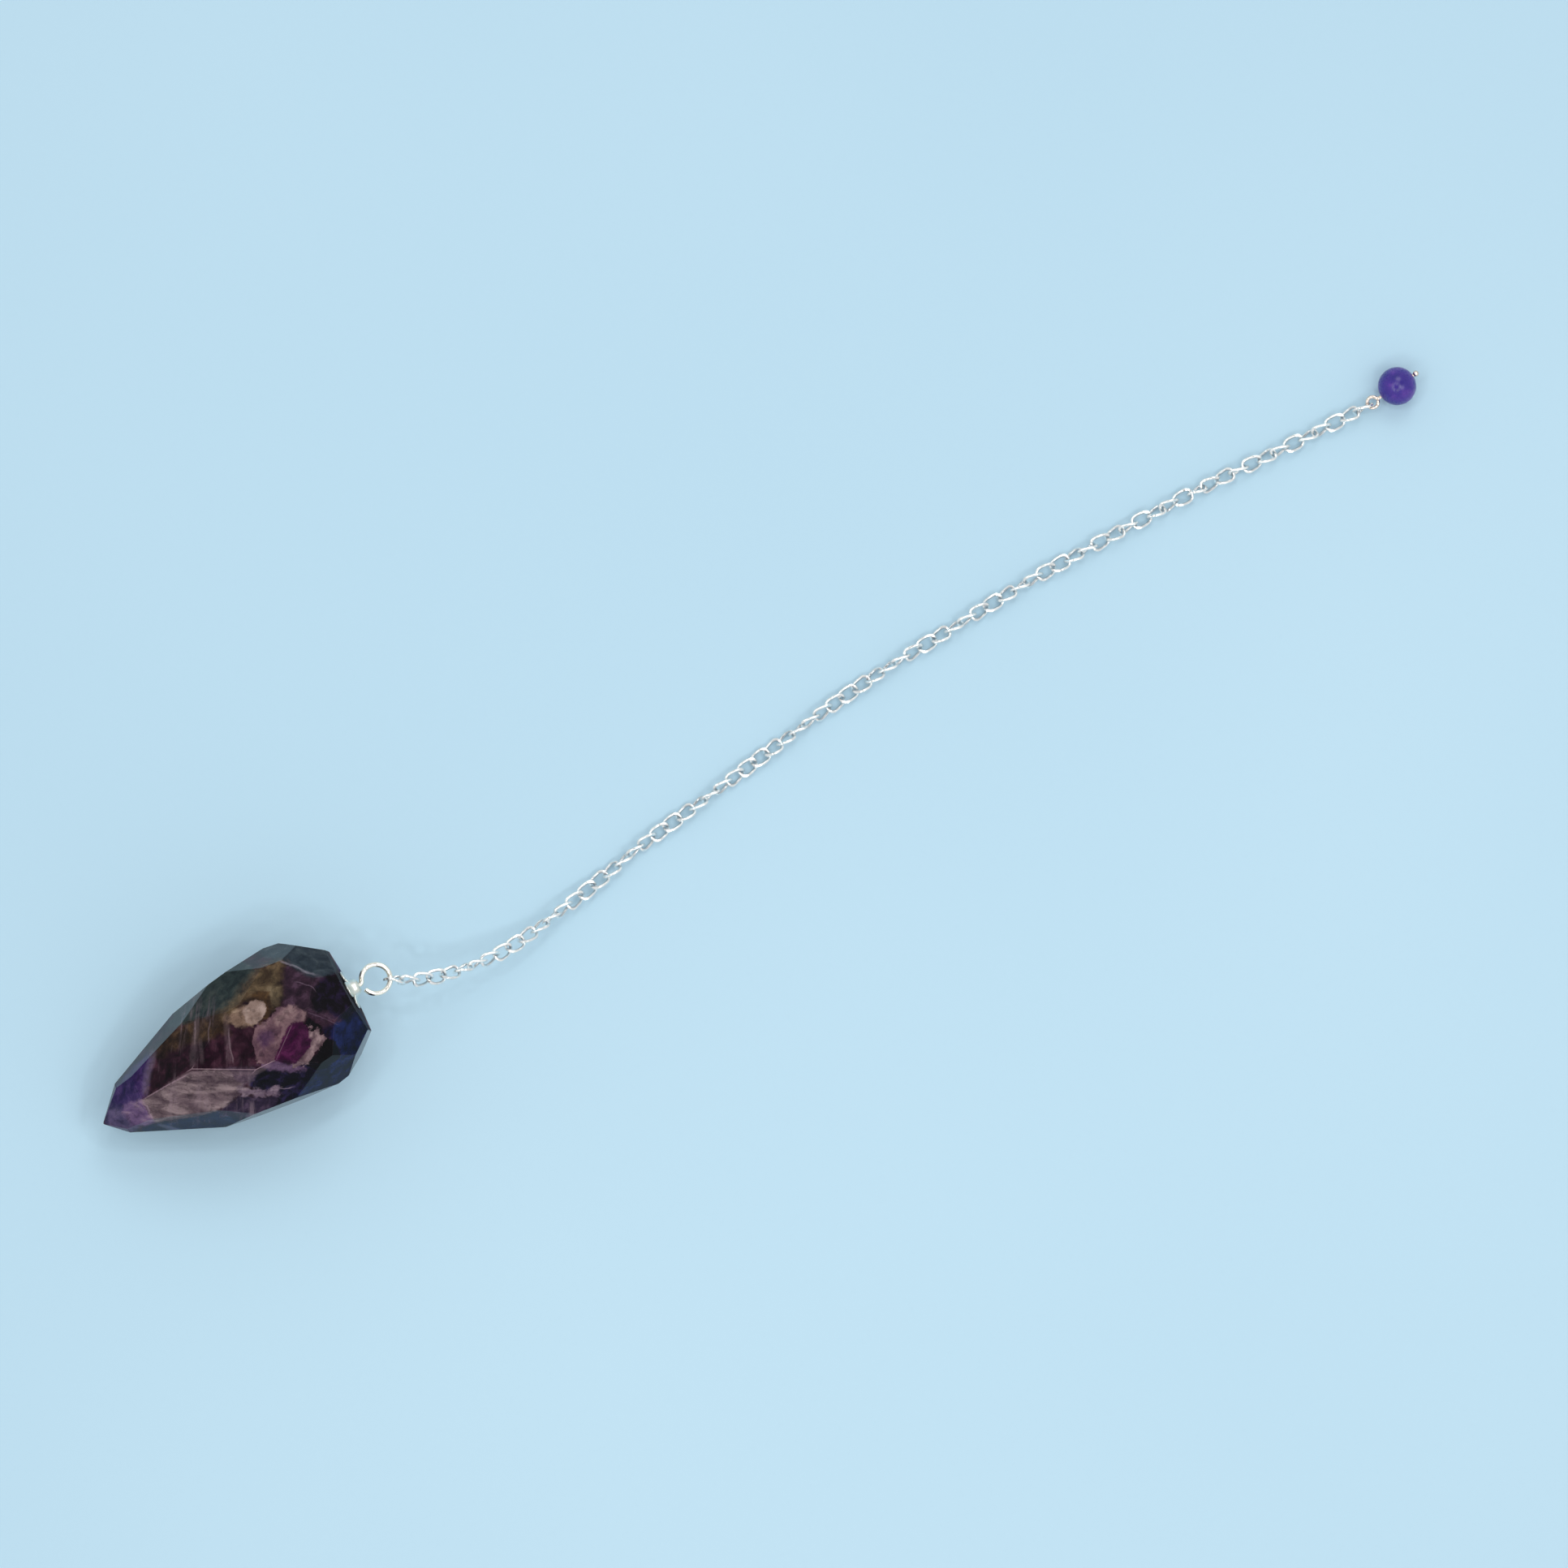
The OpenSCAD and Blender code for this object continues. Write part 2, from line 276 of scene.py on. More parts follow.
ridges = [edge for edge in bm.edges
          if len(edge.link_faces) == 2 and edge.calc_face_angle() > math.radians(1.5)
          and max(off_axis(v.co) for v in edge.verts) > SHARP_TIP]
bevelled = bmesh.ops.bevel(bm, geom=ridges, offset=EDGE_ROUND * MM, offset_type="OFFSET",
                           segments=2, profile=0.5, affect="EDGES", clamp_overlap=True)
for face in bevelled["faces"]:
    face[worn] = 1.0
for face in bm.faces:
    face[sawn] = 1.0 if face.normal.dot(stone_axis) > 0.98 else 0.0
low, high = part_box("stone")
for direction, first, last in ((Vector((1, 0, 0)), low.x, high.x), (Vector((0, 1, 0)), low.y, high.y)):
    count = int((last - first) / (CELL * MM))
    for k in range(1, count):
        at = first + (last - first) * k / count
        bmesh.ops.bisect_plane(bm, geom=bm.verts[:] + bm.edges[:] + bm.faces[:], dist=1e-7,
                               plane_co=direction * at, plane_no=direction)
stone_mesh = bpy.data.meshes.new("amethyst_drop")
bm.to_mesh(stone_mesh)
bm.free()

# The stone's markings from the bottom one up, as they lie on its upper side: name, how soft and how
# frayed its border is in millimetres, how dense it is, three tones from its darkest, and its outline
# in steps of MARK_STEP, where the tip is at (60, 460) and the second number grows to the right side.
MARK_STEP = 1 / 31.68
MARK_TIP = (60, 460)
MARKINGS = [
    ("violet_end", 0.5, 1.4, 0.9, ((28, 18, 66), (50, 32, 84), (78, 55, 108)),
     [(50, 462), (110, 395), (225, 310), (424, 262), (446, 280), (412, 312), (384, 340), (344, 396),
      (316, 440), (260, 450), (190, 470), (120, 500)]),
    ("grey_tip", 0.8, 0.8, 0.85, ((58, 52, 84), (78, 68, 100), (100, 86, 118)),
     [(40, 462), (110, 390), (150, 400), (190, 450), (190, 500), (235, 570), (150, 580), (90, 520)]),
    ("rose_tip", 0.35, 1.0, 0.85, ((98, 72, 112), (120, 92, 130), (156, 126, 150)),
     [(178, 450), (215, 428), (300, 447), (300, 574), (240, 562), (200, 525)]),
    # Partly painted reflection: these two slate markings on the outer facets of the upper side are the
    # stone's dark colour with a painted teal reflection of a blue surface.
    ("slate_side", 0.3, 0.8, 0.9, ((26, 34, 34), (42, 52, 50), (60, 68, 62)),
     [(560, 190), (632, 214), (850, 250), (920, 245), (1010, 185), (1090, 150), (1040, 70), (880, 70),
      (640, 120)]),
    ("slate_shoulder", 0.3, 1.0, 0.9, ((26, 32, 42), (42, 50, 58), (64, 74, 78)),
     [(1120, 60), (1215, 165), (1250, 215), (1300, 300), (1345, 320), (1460, 345), (1460, 200),
      (1310, 90), (1200, 50)]),
    # Partly painted reflection: the strip along the lower side is the stone's dark colour with a
    # painted blue reflection.
    ("strip", 0.3, 0.9, 0.95, ((6, 14, 34), (12, 24, 60), (26, 46, 78)),
     [(190, 560), (240, 570), (300, 580), (480, 640), (590, 668), (640, 700), (760, 780), (600, 800),
      (400, 720), (230, 640)]),
    ("violet_field", 0.4, 1.6, 0.9, ((28, 18, 40), (48, 35, 58), (84, 66, 88)),
     [(600, 690), (640, 668), (740, 655), (830, 715), (985, 745), (950, 800), (800, 790), (690, 750)]),
    ("ink", 0.35, 1.7, 0.97, ((3, 2, 6), (9, 6, 24), (38, 28, 66)),
     [(810, 585), (870, 568), (960, 590), (1040, 650), (1094, 664), (1130, 706), (1110, 735),
      (960, 800), (850, 790), (930, 745), (870, 700), (800, 650)]),
    ("indigo", 0.5, 1.6, 0.95, ((3, 4, 16), (7, 12, 46), (20, 32, 82)),
     [(1230, 560), (1340, 555), (1470, 540), (1470, 700), (1300, 820), (1180, 860), (1000, 850),
      (940, 800), (1130, 725), (1257, 706), (1265, 640)]),
    ("dull_shoulder", 0.7, 1.4, 0.9, ((34, 20, 33), (52, 33, 48), (80, 57, 76)),
     [(1150, 320), (1180, 240), (1235, 185), (1300, 300), (1350, 312), (1310, 390), (1330, 540),
      (1260, 540), (1215, 440), (1185, 400), (1130, 372)]),
    ("ochre", 0.6, 1.4, 0.93, ((30, 20, 16), (52, 37, 27), (82, 62, 44)),
     [(430, 280), (500, 246), (632, 216), (700, 226), (850, 248), (920, 242), (1000, 188),
      (1060, 165), (1120, 150), (1210, 158), (1240, 178), (1200, 205), (1180, 240), (1150, 300),
      (1120, 350), (1080, 370), (1050, 330), (1020, 262), (960, 262), (870, 300), (830, 350),
      (700, 325), (640, 305), (560, 300), (470, 290)]),
    ("ochre_light", 1.2, 1.6, 0.75, ((58, 44, 32), (86, 71, 52), (118, 99, 74)),
     [(820, 262), (900, 240), (1000, 185), (1110, 150), (1215, 165), (1190, 210), (1150, 290),
      (1100, 330), (1060, 262), (1000, 232), (930, 255), (860, 282)]),
    ("green_spot", 0.5, 1.0, 0.7, ((78, 66, 52), (100, 86, 66), (122, 106, 84)),
     [(1100, 245), (1155, 262), (1148, 305), (1115, 345), (1080, 325), (1088, 275)]),
    ("milky_dim", 0.4, 1.0, 0.9, ((50, 37, 52), (78, 61, 76), (112, 92, 104)),
     [(690, 482), (800, 533), (868, 572), (850, 600), (770, 615), (720, 560)]),
    ("milky", 0.25, 0.7, 0.95, ((68, 52, 61), (105, 87, 92), (150, 129, 131)),
     [(297, 449), (575, 441), (700, 492), (752, 522), (740, 570), (778, 600), (740, 622), (770, 645),
      (700, 640), (645, 662), (590, 655), (480, 630), (380, 593), (300, 574)]),
    ("milky_light", 0.9, 1.6, 0.4, ((110, 90, 98), (140, 117, 122), (170, 146, 150)),
     [(430, 465), (500, 540), (600, 570), (720, 605), (700, 640), (600, 640), (480, 600),
      (440, 560)]),
    ("lobes", 0.25, 1.5, 0.85, ((84, 64, 84), (118, 96, 112), (160, 136, 148)),
     [(735, 618), (790, 640), (845, 690), (925, 705), (905, 730), (840, 712), (780, 675),
      (735, 650)]),
    ("pitch", 0.5, 1.7, 0.96, ((4, 3, 6), (9, 6, 14), (30, 20, 50)),
     [(1262, 400), (1345, 335), (1470, 340), (1470, 560), (1345, 562), (1305, 500), (1250, 450)]),
    ("black", 0.15, 1.0, 1.0, ((3, 2, 4), (5, 4, 8), (14, 9, 20)),
     [(1085, 662), (1173, 640), (1211, 618), (1240, 596), (1261, 612), (1268, 677), (1257, 708),
      (1157, 724), (1125, 706)]),
    ("specks", 0.2, 1.8, 1.0, ((4, 3, 6), (8, 5, 10), (20, 12, 24)),
     [(1178, 478), (1216, 480), (1238, 540), (1240, 585), (1205, 560), (1184, 520)]),
    ("mauve_streak", 0.3, 1.2, 0.8, ((78, 54, 84), (102, 74, 104), (128, 98, 124)),
     [(880, 563), (960, 568), (1000, 610), (1060, 658), (1080, 690), (1000, 655), (930, 602)]),
    ("mauve", 0.12, 1.0, 0.95, ((70, 48, 62), (98, 70, 80), (130, 101, 106)),
     [(966, 392), (998, 388), (1073, 379), (1098, 362), (1140, 370), (1180, 395), (1186, 414),
      (1213, 439), (1205, 452), (1182, 456), (1178, 485), (1161, 474), (1120, 468), (1110, 480),
      (1065, 512), (1040, 530), (1000, 562), (960, 582), (918, 566), (890, 552), (902, 498),
      (910, 468), (932, 430), (954, 405)]),
    ("mauve_light", 0.5, 1.0, 0.7, ((98, 74, 80), (124, 97, 100), (152, 125, 124)),
     [(1062, 387), (1140, 374), (1182, 395), (1186, 416), (1208, 440), (1176, 478), (1104, 452),
      (1050, 420)]),
    ("violet_heart", 0.6, 0.8, 0.65, ((68, 42, 74), (80, 52, 82), (98, 68, 96)),
     [(945, 440), (985, 425), (1025, 450), (1000, 495), (955, 495)]),
    ("pale_rim", 0.1, 1.9, 0.95, ((70, 52, 59), (108, 85, 91), (154, 129, 131)),
     [(1150, 470), (1180, 490), (1182, 531), (1219, 539), (1205, 556), (1222, 572), (1244, 593),
      (1213, 608), (1214, 622), (1173, 640), (1115, 657), (1073, 661), (1035, 643), (1060, 600),
      (1120, 560)]),
    ("magenta", 0.16, 0.8, 0.97, ((35, 2, 31), (54, 5, 46), (82, 24, 68)),
     [(1102, 466), (1140, 461), (1176, 476), (1186, 518), (1172, 545), (1168, 578), (1130, 612),
      (1098, 626), (1040, 631), (1007, 610), (973, 577), (966, 582), (1008, 548), (1042, 520),
      (1078, 492)]),
    ("hook", 0.2, 0.9, 0.92, ((36, 24, 16), (58, 40, 26), (84, 60, 36)),
     [(1028, 238), (1062, 248), (1094, 275), (1082, 322), (1066, 352), (1046, 382), (985, 388),
      (990, 376), (1020, 366), (1040, 352), (1054, 325), (1046, 300), (1020, 278), (1000, 264)]),
    ("beige_dull", 0.3, 0.9, 0.92, ((100, 79, 67), (130, 105, 91), (156, 132, 113)),
     [(864, 292), (895, 274), (970, 270), (975, 330), (960, 380), (898, 356), (868, 325)]),
    ("beige", 0.14, 0.75, 0.95, ((110, 88, 80), (144, 121, 112), (176, 153, 144)),
     [(940, 290), (985, 274), (1024, 274), (1048, 298), (1054, 325), (1038, 350), (1018, 364),
      (988, 372), (950, 366), (930, 350), (945, 322)]),
]
# Pale healed cracks, and a painted highlight along the top ridge: name, half width in millimetres,
# density, tone, and the line's points.
CRACKS = [
    ("crack_tip", 0.9, 0.3, (150, 130, 152), [(470, 245), (412, 312), (384, 340), (344, 396),
                                               (312, 442)]),
    ("veil_1", 0.8, 0.16, (150, 128, 136), [(738, 196), (700, 262), (640, 350), (586, 436)]),
    ("veil_2", 0.2, 0.3, (158, 136, 142), [(718, 212), (678, 290), (648, 344)]),
    ("veil_3", 0.7, 0.14, (150, 124, 134), [(868, 252), (828, 340), (790, 430), (762, 500)]),
    ("veil_4", 0.2, 0.3, (160, 136, 144), [(846, 325), (806, 420), (780, 508)]),
    ("veil_5", 0.5, 0.16, (150, 126, 134), [(700, 300), (672, 370), (640, 440)]),
    ("veil_6", 0.16, 0.25, (150, 128, 136), [(796, 240), (748, 300), (716, 366)]),
    ("crack_shoulder", 0.24, 0.5, (158, 148, 160), [(1205, 150), (1262, 212), (1294, 256),
                                                  (1345, 314)]),
    ("crack_fine", 0.12, 0.35, (140, 118, 138), [(1225, 275), (1270, 318), (1303, 352), (1303, 388)]),
    # Partly painted reflection: a pale line, tinted with the same painted blue reflection as the strip
    # around it.
    ("crack_strip", 0.5, 0.4, (118, 122, 150), [(292, 572), (330, 618), (392, 675)]),
    ("crack_facet", 0.1, 0.3, (128, 104, 126), [(1215, 438), (1262, 492), (1330, 580)]),
    # Painted highlight: a pale line along the stone's top ridge, where it catches the light.
    ("ridge_glow", 0.5, 0.28, (150, 124, 132), [(430, 441), (572, 437), (845, 586), (958, 590)]),
    ("milky_end", 0.2, 0.5, (172, 144, 162), [(298, 440), (302, 500), (296, 574)]),
    ("milky_top", 0.16, 0.5, (172, 142, 154), [(300, 446), (430, 441), (575, 439)]),
    ("milky_streak", 0.4, 0.4, (172, 148, 150), [(428, 444), (520, 520), (624, 572), (740, 612),
                                                 (800, 652)]),
    ("milky_thread", 0.18, 0.4, (166, 142, 146), [(350, 528), (400, 532), (470, 550)]),
    ("crack_ink", 0.12, 0.6, (150, 128, 150), [(905, 700), (950, 728), (1000, 738)]),
]


def laid(outline):
    """An outline in millimetres from the tip, along the stone and across it."""
    return (np.array(outline, float) - MARK_TIP) * (MARK_STEP, -MARK_STEP)


def outline_distance(points, corners):
    """How far each point is inside an outline, and less than 0 outside it."""
    inside = np.zeros(len(points), bool)
    nearest = np.full(len(points), 1e9)
    for a, b in zip(corners, np.roll(corners, -1, axis=0)):
        edge = b - a
        t = np.clip(((points - a) @ edge) / (edge @ edge), 0, 1)
        nearest = np.minimum(nearest, np.linalg.norm(points - a - t[:, None] * edge, axis=1))
        if a[1] != b[1]:
            crosses = (a[1] > points[:, 1]) != (b[1] > points[:, 1])
            inside ^= crosses & (points[:, 0] < a[0] + (points[:, 1] - a[1]) / edge[1] * edge[0])
    return np.where(inside, nearest, -nearest)


def line_places(points, line):
    """How far each point is to one side of a line, past its start and before its end."""
    nearest = np.full(len(points), 1e9)
    places = np.zeros((len(points), 3))
    lengths = np.linalg.norm(np.diff(line, axis=0), axis=1)
    for k, (a, b) in enumerate(zip(line, line[1:])):
        edge = (b - a) / lengths[k]
        run = (points - a) @ edge
        first = -1e9 if k == 0 else 0
        last = 1e9 if k == len(lengths) - 1 else lengths[k]
        away = np.linalg.norm(points - a - np.clip(run, first, last)[:, None] * edge, axis=1)
        side = (points - a) @ np.array((-edge[1], edge[0]))
        closer = away < nearest
        nearest = np.where(closer, away, nearest)
        done = lengths[:k].sum() + run
        here = np.c_[np.where(side < 0, -away, away), done, lengths.sum() - done]
        places = np.where(closer[:, None], here, places)
    return places


# The markings fade out on the faces that turn under, from UNDER_START over the tip downwards.
UNDER_START = 1.0
UNDER_PULL = 1.2
spots = np.array([v.co for v in stone_mesh.vertices]) / MM - np.array(tip_mm)
depth = spots @ np.array(-view_line)
spots = np.c_[spots @ np.array(stone_along), spots @ np.array(stone_across)]
underside = np.clip(UNDER_START - depth, 0, None) * UNDER_PULL
for name, soft, fray, density, tones, outline in MARKINGS:
    values = outline_distance(spots, laid(outline)) - underside
    stone_mesh.attributes.new(name, "FLOAT", "POINT").data.foreach_set(
        "value", values.astype(np.float32))
for name, half_width, density, tone, line in CRACKS:
    values = line_places(spots, laid(line)) - underside[:, None] * (0, 1, 1)
    stone_mesh.attributes.new(name, "FLOAT_VECTOR", "POINT").data.foreach_set(
        "vector", values.astype(np.float32).ravel())


# LAMPLIGHT is how much brighter than its own colour a thing looks under these lamps. A bright
# ridge is a worn edge on the line v = slope * u + rise, painted pale as a highlight, from one u to
# another, and how strong it is.
LAMPLIGHT = 1.2
TONE_STOPS = (0.36, 0.5, 0.64)
PAINTED_HIGHLIGHT_RIDGES = [(-0.4, 7.1, 15.5, 28, 1.0), (0.57, -19.2, 27, 33, 0.3)]


def tone_of(red, green, blue):
    """A colour as the eye names it under these lamps, from 0 to 255, in the shader's own numbers."""
    return tuple((c / 255 / 12.92 if c < 11 else ((c / 255 + 0.055) / 1.055) ** 2.4) / LAMPLIGHT
                 for c in (red, green, blue))


def tones_by(value, tones):
    """Runs through three tones as a value grows."""
    stops = [(place, tone_of(*tone)) for place, tone in zip(TONE_STOPS, tones)]
    return value.node("ValToRGB", {"stops": stops}, {0: value})


amethyst, start, surface = new_material("polished_amethyst")
here = place_mm(start)
u = here.along(tuple(stone_along)) - tip_mm.dot(stone_along)
v = here.along(tuple(stone_across)) - tip_mm.dot(stone_across)
up = here.along(tuple(-view_line)) + tip_mm.dot(view_line)
ragged = here.noise(0.7, 5.0, 0.6, 0.2) - 0.5
frayed = here.noise(2.6, 3.0, 0.55, 0.2) - 0.5
cloudy = here.noise(0.2, 3.0, 0.5, 0.6)
blotchy = here.noise(0.5, 4.0, 0.55, 0.5)
milk = start.node("CombineXYZ", {}, {0: (u * 0.85 - v * 0.5) * 0.3, 1: (u * 0.5 + v * 0.85) * 0.7,
                                     2: up * 0.5}).noise(1.0, 4.0, 0.6, 0.5)
fine = here.noise(3.2, 4.0, 0.65)
stone_colour = tones_by(blotchy * 0.7 + cloudy * 0.3, ((9, 3, 9), (36, 13, 27), (66, 36, 50)))
below = (1.5 - up).ease(0, 4)
stone_colour = stone_colour.under(tones_by(milk, ((78, 58, 76), (112, 88, 102), (152, 128, 138))),
                                  cloudy.ease(0.53, 0.6) * below * 0.85)
stone_colour = stone_colour.under(tones_by(blotchy, ((14, 10, 34), (34, 26, 78), (66, 50, 106))),
                                  here.noise(0.12, 3.0).ease(0.52, 0.6) * below * 0.85)
stone_colour = stone_colour.under(tones_by(blotchy, ((42, 30, 22), (74, 52, 34), (112, 84, 54))),
                                  (1 - cloudy).ease(0.57, 0.66) * below * 0.8)
for name, soft, fray, density, tones, outline in MARKINGS:
    inside = start.node("Attribute", {"attribute_name": name}, {}, 2)
    border = (inside + ragged * (fray * 1.6) + frayed * (fray * 0.3) + 0.12).ease(-soft, soft)
    inner = milk if name in ("milky", "milky_light", "rose_tip", "lobes") else blotchy
    stone_colour = stone_colour.under(tones_by(inner * 0.8 + fine * 0.2, tones), border * density)
veil_place = start.node("CombineXYZ", {}, {0: (u * 0.85 - v * 0.53) * 0.8,
                                           1: (u * 0.53 + v * 0.85) * 0.07, 2: up * 0.06})
veils = veil_place.noise(1.0, 5.0, 0.62, 0.15)
veil_field = (u.ease(7, 12) * (1 - u.ease(22, 26)) * up.ease(0, 5)).most(below * 0.35)
stone_colour = stone_colour.under(tone_of(140, 118, 128),
                                  veils.ease(0.51, 0.7) * veil_field * cloudy.ease(0.3, 0.6) * 0.5)
for name, half_width, density, tone, line in CRACKS:
    place = start.node("Attribute", {"attribute_name": name}, {}, 1)
    side, past, left = (start.node("SeparateXYZ", {}, {0: place}, k) for k in range(3))
    away = (side + frayed * 0.15 + ragged * (0.35 + half_width * 0.5)).size()
    stone_colour = stone_colour.under(
        tone_of(*tone), (1 - away.ease(half_width * 0.2, half_width)) * past.ease(0, 1.2)
        * left.ease(0, 1.2) * (density * 0.4 + blotchy * (density * 0.9)))
mottle = here.noise(1.1, 4.0, 0.6, 0.4).ease(0.51, 0.64) * 0.32
stone_colour = stone_colour.under(tone_of(10, 6, 12), mottle.most(fine.ease(0.5, 0.78) * 0.32))
worn = start.node("Attribute", {"attribute_name": "worn"}, {}, 2)
painted_edge_highlight = 0
for slope, rise, first, last, strength in PAINTED_HIGHLIGHT_RIDGES:
    ridge = ((v - u * slope - rise).size().ease(1.4, 0.5) * u.ease(first, first + 1)
             * (1 - u.ease(last, last + 1)) * strength)
    painted_edge_highlight = ridge.most(painted_edge_highlight)
# Painted highlight: the worn edges along the bright ridges are painted pale on the upper side, as a
# glint. All worn edges also get a faint paleness of real wear.
stone_colour = stone_colour.under(
    tone_of(172, 142, 152), worn * (painted_edge_highlight * (0.25 + blotchy * 0.6) * up.ease(3, 6)
                                    + blotchy.ease(0.45, 0.65) * 0.03))
start.feed(surface.inputs["Base Color"], stone_colour)
sawn = start.node("Attribute", {"attribute_name": "sawn"}, {}, 2)
start.feed(surface.inputs["Roughness"],
           0.15 + fine.ease(0.45, 0.8) * 0.1 + worn * 0.3 + sawn * 0.55)
start.feed(surface.inputs["Normal"],
           bump(start, here.noise(0.25, 2.0) * 0.7 + fine * 0.05, 0.08, 0.35))
surface.inputs["IOR"].default_value = 1.54
surface.inputs["Specular IOR Level"].default_value = 0.1


def new_piece(name, mesh, material, part):
    """Adds a mesh as a piece that stands for a part and takes that part's finish."""
    piece = bpy.data.objects.new(name, mesh)
    bpy.context.scene.collection.objects.link(piece)
    mesh.materials.append(material)
    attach(piece, "root")
    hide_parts(part)


new_piece("amethyst_drop", stone_mesh, amethyst, "stone")


# Cap: a bell cap stamped from thin sheet and silver plated, with a round collar in the middle
# and four petals. It sits on the stone's flat top and is held there by the glued peg.
CAP_R = 3.2
COLLAR_R = 1.35
CAP_H = 1.8
FLARE_TOP = 1.1
SHEET = 0.3
SEAT = 0.05
CAP_HOLE_R = 0.475
RIM_W = 0.12
SUNK = 0.06
LIP = 0.05
UPPER_STEPS = 12
LOWER_STEPS = 7
COLLAR_DOME = [(0.66, 1.8), (0.8, 1.79), (0.95, 1.74), (1.08, 1.65), (1.19, 1.53), (1.27, 1.4),
               (1.32, 1.27)]
PETALS = 4
AROUND = 128
in_stone = Matrix.Scale(MM, 4) @ Matrix.Translation(tip_mm) @ Matrix.Rotation(
    math.pi / 2 - LEAN, 4, "Y")


def skin(name, rings, closed_rows=True):
    """A mesh over closed rings of points that all have the same count."""
    rows, columns = len(rings), len(rings[0])
    faces = []
    for i in range(rows if closed_rows else rows - 1):
        for j in range(columns):
            k = (i + 1) % rows
            m = (j + 1) % columns
            faces.append((i * columns + j, i * columns + m, k * columns + m, k * columns + j))
    mesh = bpy.data.meshes.new(name)
    mesh.from_pydata([tuple(p) for ring in rings for p in ring], [], faces)
    return mesh


def petal_reach(turn):
    """How far out the cap's edge is in this direction."""
    pitch = CAP_R / (1 + math.sin(math.pi / PETALS))
    radius = CAP_R - pitch
    step = 2 * math.pi / PETALS
    off = (turn + step / 2) % step - step / 2
    return max(pitch * math.cos(off) + math.sqrt(max(radius ** 2 - (pitch * math.sin(off)) ** 2, 0)),
               COLLAR_R + SHEET)


def flare(r, reach, top):
    """Height of the flared sheet's upper or lower side at a distance from the axis."""
    bend = (CAP_R - r) / (CAP_R - reach)
    return FLARE_TOP - top * math.sqrt(max(0, 1 - bend ** 2))


cap_rings = []
for j in range(AROUND):
    turn = 2 * math.pi * j / AROUND
    edge = petal_reach(turn)
    section = [(CAP_HOLE_R, 1.72), (CAP_HOLE_R + 0.05, 1.77), *COLLAR_DOME, (COLLAR_R, 1.15),
               (COLLAR_R, FLARE_TOP)]
    for k in range(1, UPPER_STEPS + 1):
        r = COLLAR_R + (edge - LIP - COLLAR_R) * k / UPPER_STEPS
        rim = (edge - LIP - r) / (edge - COLLAR_R)
        sunk = SUNK * min(1, max(0, rim - RIM_W) / 0.1) * min(1, (r - COLLAR_R) / 0.3)
        section.append((r, flare(r, COLLAR_R, FLARE_TOP - SHEET) - sunk))
    top_edge = flare(edge, COLLAR_R, FLARE_TOP - SHEET)
    low_edge = flare(edge, COLLAR_R - SHEET, FLARE_TOP)
    section += [(edge - 0.015, top_edge - 0.02), (edge, top_edge - 0.06), (edge, low_edge + 0.06),
                (edge - 0.03, low_edge + 0.01)]
    for k in range(LOWER_STEPS + 1):
        r = edge - 0.08 + (COLLAR_R - SHEET - edge + 0.08) * k / LOWER_STEPS
        section.append((r, flare(r, COLLAR_R - SHEET, FLARE_TOP)))
    section += [(COLLAR_R - SHEET, 1.45), (CAP_HOLE_R, 1.5)]
    cap_rings.append([in_stone @ Vector((r * math.cos(turn), r * math.sin(turn),
                                         STONE_LEN + SEAT + z)) for r, z in section])
cap_mesh = skin("petal_cap", cap_rings)
cap_mesh.shade_smooth()
cap_mesh.set_sharp_from_angle(angle=math.radians(50))

plated_sheet, start, surface = new_material("plated_sheet")
here = place_mm(start)
rub = here.noise(1.2, 4.0, 0.6)
sheet_colour = start.node("ValToRGB", {"stops": [(0.3, (0.62, 0.66, 0.60)), (0.55, (0.80, 0.82, 0.76)),
                                                 (0.75, (0.93, 0.93, 0.88))]}, {0: rub})
start.feed(surface.inputs["Base Color"], sheet_colour)
start.feed(surface.inputs["Roughness"], 0.2 + here.noise(6, 3.0) * 0.25)
start.feed(surface.inputs["Normal"], bump(start, here.noise(5, 4.0), 0.03, 0.5))
surface.inputs["Metallic"].default_value = 1
new_piece("petal_cap", cap_mesh, plated_sheet, "cap")


# Eye pin: a peg glued into the stone, whose wire comes out of the cap, bends to one side and is
# turned round into an open eye. Its cut end is rounded, and the wire is silver plated and bright.
EYE_WIRE_R = 0.425
EYE_R = 2.25
NECK_R = 0.7
NECK_BEND = 68
EYE_GAP = 38
PEG_LEN = 7.5
CAP_TOP = STONE_LEN + SEAT + CAP_H


def turned_eye(r, bend_r, bend, gap, steps):
    """Points of a wire that bends to one side and turns back round into an open eye."""
    bend = math.radians(bend)
    path = [(bend_r * (1 - math.cos(bend * k / 10)), bend_r * math.sin(bend * k / 10))
            for k in range(1, 10)]
    centre = (bend_r - (bend_r + r) * math.cos(bend), (bend_r + r) * math.sin(bend))
    sweep = 2 * math.pi - math.radians(gap)
    for k in range(steps + 1):
        a = -bend + sweep * k / steps
        path.append((centre[0] + r * math.cos(a), centre[1] + r * math.sin(a)))
    return path


